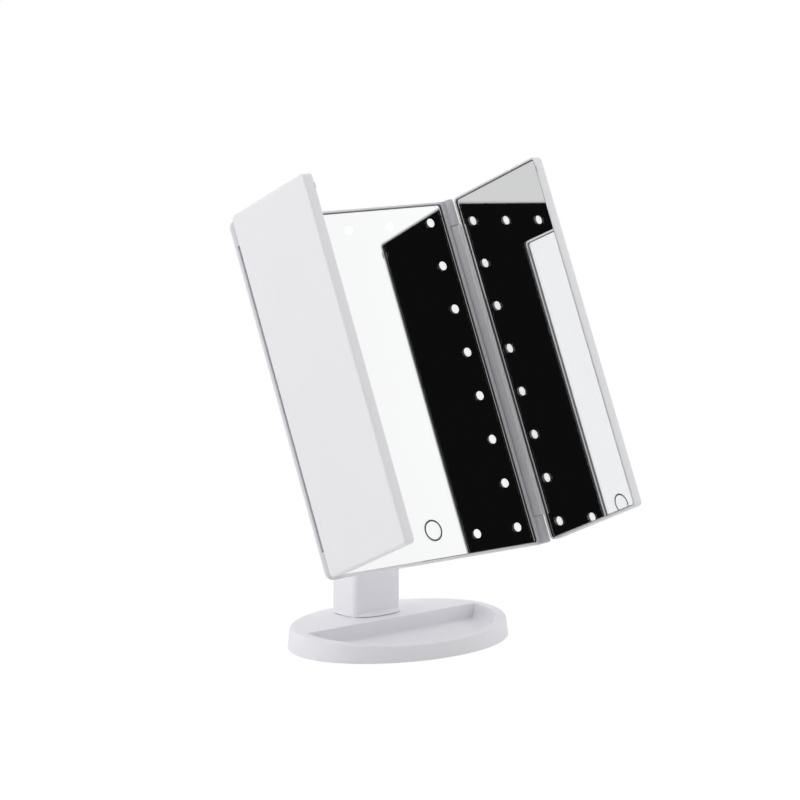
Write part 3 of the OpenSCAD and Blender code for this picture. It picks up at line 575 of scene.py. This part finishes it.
def with_painted_hinge_shade(name, near, far):
    """The satin white with painted shade along both hinge lines, out to the distances given."""
    material = surface(name, *SATIN_WHITE, grain=0.03)
    nodes, links = material.node_tree.nodes, material.node_tree.links
    shader = nodes["Principled BSDF"]
    tone = shader.inputs["Base Color"].links[0].from_socket
    # Each hinge line darkens the tone near it: painted shade, not a grey part.
    for side in WINGS:
        hinge = joint(f"{side}_wing_hinge")
        grey = placed_group(nodes, "painted_hinge_shade", {
            "Painted shade": HINGE_PAINTED_SHADE, "Point": hinge["pos_m"], "Along": hinge["axis"],
            "Near": near, "Far": far})
        wire(links, (tone, grey.inputs["Shell"]))
        tone = grey.outputs["Tone"]
    wire(links, (tone, shader.inputs["Base Color"]))
    return material


def finishes():
    """Every material, by the record's slot."""
    return {
        "white_shell": surface("satin_white", *SATIN_WHITE, grain=0.03),
        "base_cover_white": surface("matt_white", (0.8, 0.8, 0.81), 0.01, (0.6, 0.7), grain=0.1),
        "pad_grey": surface("foam_rubber", (0.03, 0.03, 0.033), 0.1, (0.8, 0.9),
                            grain=0.5, grain_size=1500),
        "screw_steel": surface("zinc_steel", (0.5, 0.51, 0.53), 0.08, (0.3, 0.45),
                               patch=400, Metallic=1.0),
        "pin_steel": surface("bright_steel", (0.6, 0.6, 0.61), 0.04, (0.2, 0.3),
                             patch=300, Metallic=1.0),
        "bush_natural": surface("natural_resin", (0.72, 0.69, 0.6), 0.02, (0.4, 0.5)),
        "washer_fibre": surface("fibre", (0.1, 0.08, 0.07), 0.1, (0.7, 0.8), grain=0.4),
        "mirror_glass": surface("float_glass", (0.992, 0.995, 0.995), 0.002, (0.0, 0.002),
                                patch=8, grain=0, IOR=1.5, Transmission_Weight=1.0),
        "mirror_silver": surface("silvering", (0.985, 0.987, 0.992), 0.003, (0.0, 0.003),
                                 patch=8, grain=0, Metallic=1.0),
        "tape_foam": surface("foam_tape", (0.7, 0.7, 0.7), 0.02, (0.7, 0.8), grain=0.3),
        "ring_grey": surface("dark_paint", (0.09, 0.09, 0.095), 0.05, (0.5, 0.6)),
        "foam_black": surface("conductive_foam", (0.015, 0.015, 0.017), 0.1, (0.8, 0.9),
                              grain=0.5, grain_size=1500),
        "board_green": surface("solder_mask", (0.02, 0.1, 0.04), 0.1, (0.25, 0.35)),
        # The light windows are unlit, and their glow is painted light.
        "diffuser_white": surface("diffuser_painted_glow", (0.9, 0.9, 0.9), 0.01, (0.5, 0.6),
                                  Emission_Color=(1, 1, 1, 1), Emission_Strength=0.75),
        "led_cream": surface("phosphor", (0.8, 0.7, 0.3), 0.02, (0.3, 0.4)),
        "cell_jacket": surface("cell_film", (0.05, 0.12, 0.07), 0.05, (0.25, 0.3)),
        "contact_steel": surface("nickel_plate", (0.62, 0.6, 0.56), 0.04, (0.2, 0.3),
                                 patch=300, Metallic=1.0),
        "switch_black": surface("switch_resin", (0.012, 0.012, 0.013), 0.05, (0.45, 0.55)),
        "bumper_grey": surface("soft_stop", (0.5, 0.5, 0.51), 0.05, (0.7, 0.8)),
    }


def dress(pieces, materials):
    """Puts its slot's material on each CAD node and each piece. The stand then gets a copy of the
    white painted lighter, and the mouldings that carry a hinge barrel get the white with painted shade along the
    hinges."""
    slots = {p["node"]: p["material_slot"] for p in frame["record"]["subparts"]}
    for name, node in frame["nodes"].items():
        node.data.materials.clear()
        node.data.materials.append(materials[slots[name]])
    for piece in pieces:
        piece.data.materials.append(materials[piece["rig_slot"]])
    # The base and the column get the lighter copy of the white: painted light.
    stand_painted_lighter = surface("satin_white_painted_lighter", *STAND_WHITE_PAINTED_LIGHTER, grain=0.03)
    own = {"base_body": stand_painted_lighter, "column": stand_painted_lighter,
           "front_frame": with_painted_hinge_shade("frame_painted_shade", *FRAME_PAINTED_SHADE)}
    own |= {f"{side}_wing_case": with_painted_hinge_shade(f"hinged_{side}_wing", *WING_PAINTED_SHADE) for side in WINGS}
    shown = frame["nodes"] | {piece.name: piece for piece in pieces}
    for name, material in own.items():
        shown[name].data.materials[0] = material


# ------------------------------------------------------------- the studio

# The photograph's view, worked out from the grid of light windows. Angles in degrees.
CAMERA_AT = Vector((-1.400247, -1.643034, 0.487993))
CAMERA_AZIMUTH = -40.457
CAMERA_ELEVATION = 8.702
SENSOR_MM, LENS_MM = 36, 153.56
VIEW_REACH = 50

FLOOR_REACH = 12.0
FLOOR_PAPER = (0.9, 0.9, 0.9, 1)
FLOOR_WHITE = 1.03
FLOOR_GLOW = 0.92          # the share of that white in the floor that the camera sees
FLOOR_IN_MIRROR = 0.64

SKY = 0.77
# Direction, the angles within which a patch is full and outside which it has gone,
# and its strength: a soft box on the right, and the studio's unlit side.
PATCHES = (((0.843, -0.397, 0.363), 5, 29.4, 1.045),
           ((-0.641, -0.610, 0.466), 17, 37, 0.004))
# Place, what it is aimed at, side and watts of each lamp.
LAMPS = (((-2.2, 0.5, 1.0), (0, 0, 0.15), 1.6, 14.5),
         ((-0.2, 0.2, 2.4), (0, 0, 0.1), 1.8, 9),
         ((2.0, -0.3, 0.9), (0, 0, 0.05), 1.6, 6.5))


def camera():
    """The photograph's view: azimuth 0 looks along +Y."""
    data = bpy.data.cameras.new("camera")
    data.sensor_width = SENSOR_MM
    data.lens = LENS_MM
    data.clip_end = VIEW_REACH
    azimuth, elevation = math.radians(CAMERA_AZIMUTH), math.radians(CAMERA_ELEVATION)
    look = Vector((-math.sin(azimuth) * math.cos(elevation),
                   math.cos(azimuth) * math.cos(elevation), -math.sin(elevation)))
    seat = put(bpy.data.objects.new("camera", data))
    seat.rotation_euler = look.to_track_quat("-Z", "Y").to_euler()
    seat.location = CAMERA_AT
    bpy.context.scene.camera = seat


def floor():
    """A wide white floor. The camera and the glass show it mostly as plain white, with
    a share of lit paper that keeps the object's shadow, and a mirror shows it grey."""
    mesh = bpy.data.meshes.new("floor")
    reach = FLOOR_REACH
    mesh.from_pydata([(-reach, -reach, 0), (reach, -reach, 0), (reach, reach, 0),
                      (-reach, reach, 0)], [], [(0, 1, 2, 3)])
    ground = put(bpy.data.objects.new("floor", mesh))
    material = bpy.data.materials.new("floor_white")
    material.use_nodes = True
    nodes = material.node_tree.nodes
    nodes.clear()
    out = nodes.new("ShaderNodeOutputMaterial")
    paper = nodes.new("ShaderNodeBsdfDiffuse")
    paper.inputs["Color"].default_value = FLOOR_PAPER
    white, grey = [nodes.new("ShaderNodeEmission") for _ in range(2)]
    for glow, strength in ((white, FLOOR_WHITE), (grey, FLOOR_IN_MIRROR)):
        glow.inputs["Color"].default_value = (1, 1, 1, 1)
        glow.inputs["Strength"].default_value = strength
    path = nodes.new("ShaderNodeLightPath")
    seen, share = [nodes.new("ShaderNodeMath") for _ in range(2)]
    seen.operation, share.operation = "MAXIMUM", "MULTIPLY"
    share.inputs[1].default_value = FLOOR_GLOW
    plain, mirrored = [nodes.new("ShaderNodeMixShader") for _ in range(2)]
    wire(material.node_tree.links,
         (path.outputs["Is Camera Ray"], seen.inputs[0]),
         (path.outputs["Is Transmission Ray"], seen.inputs[1]),
         (seen.outputs[0], share.inputs[0]),
         (share.outputs[0], plain.inputs[0]),
         (paper.outputs[0], plain.inputs[1]),
         (white.outputs[0], plain.inputs[2]),
         (path.outputs["Is Glossy Ray"], mirrored.inputs[0]),
         (plain.outputs[0], mirrored.inputs[1]),
         (grey.outputs[0], mirrored.inputs[2]),
         (mirrored.outputs[0], out.inputs["Surface"]))
    mesh.materials.append(material)


def studio_room():
    """A pale room. The mirrors show its unlit side, behind the camera, as black, and
    a soft box on its right as white. A patch's share of a direction falls from all to
    none between two angles, on the cosine. The camera itself sees plain white."""
    world = bpy.data.worlds.new("studio")
    bpy.context.scene.world = world
    world.use_nodes = True
    nodes, links = world.node_tree.nodes, world.node_tree.links
    nodes.clear()
    out = nodes.new("ShaderNodeOutputWorld")
    white, room = [nodes.new("ShaderNodeBackground") for _ in range(2)]
    for shade in (white, room):
        shade.inputs["Color"].default_value = (1, 1, 1, 1)
    place = nodes.new("ShaderNodeTexCoord")
    strength = None
    for toward, full, gone, level in PATCHES:
        dot = nodes.new("ShaderNodeVectorMath")
        dot.operation = "DOT_PRODUCT"
        dot.inputs[1].default_value = Vector(toward).normalized()
        fade = nodes.new("ShaderNodeMapRange")
        fade.interpolation_type = "SMOOTHSTEP"
        fade.inputs["From Min"].default_value = math.cos(math.radians(gone))
        fade.inputs["From Max"].default_value = math.cos(math.radians(full))
        fade.inputs["To Min"].default_value = SKY
        fade.inputs["To Max"].default_value = level
        wire(links, (place.outputs["Generated"], dot.inputs[0]),
             (dot.outputs["Value"], fade.inputs["Value"]))
        if strength:
            links.new(strength, fade.inputs["To Min"])
        strength = fade.outputs["Result"]
    path = nodes.new("ShaderNodeLightPath")
    mix = nodes.new("ShaderNodeMixShader")
    wire(links, (strength, room.inputs["Strength"]),
         (path.outputs["Is Camera Ray"], mix.inputs[0]),
         (room.outputs[0], mix.inputs[1]),
         (white.outputs[0], mix.inputs[2]),
         (mix.outputs[0], out.inputs["Surface"]))


def lamps():
    """Soft square lamps, which neither a mirror nor the glass before it shows."""
    for count, (spot, aim, side, watts) in enumerate(LAMPS):
        data = bpy.data.lights.new(f"lamp_{count}", "AREA")
        data.size = side
        data.energy = watts
        lamp = put(bpy.data.objects.new(f"lamp_{count}", data))
        lamp.location = spot
        lamp.rotation_euler = (Vector(aim) - Vector(spot)).to_track_quat("-Z", "Y").to_euler()
        lamp.visible_glossy = lamp.visible_transmission = False


# ------------------------------------------------------------- the picture

PIECES = [base_body(),
          glass("centre_glass", PANEL, "centre_mirror", "head"),
          edge_paint("centre_glass_edge", PANEL, "centre_mirror", "head")]
for side, place in WINGS.items():
    PIECES += [wing_case(side, place),
               glass(f"{side}_glass", place, f"{side}_wing_mirror", f"{side}_wing"),
               edge_paint(f"{side}_glass_edge", place, f"{side}_wing_mirror", f"{side}_wing")]
dress(PIECES, finishes())
camera()
floor()
studio_room()
lamps()
bpy.context.scene.view_settings.view_transform = "Standard"
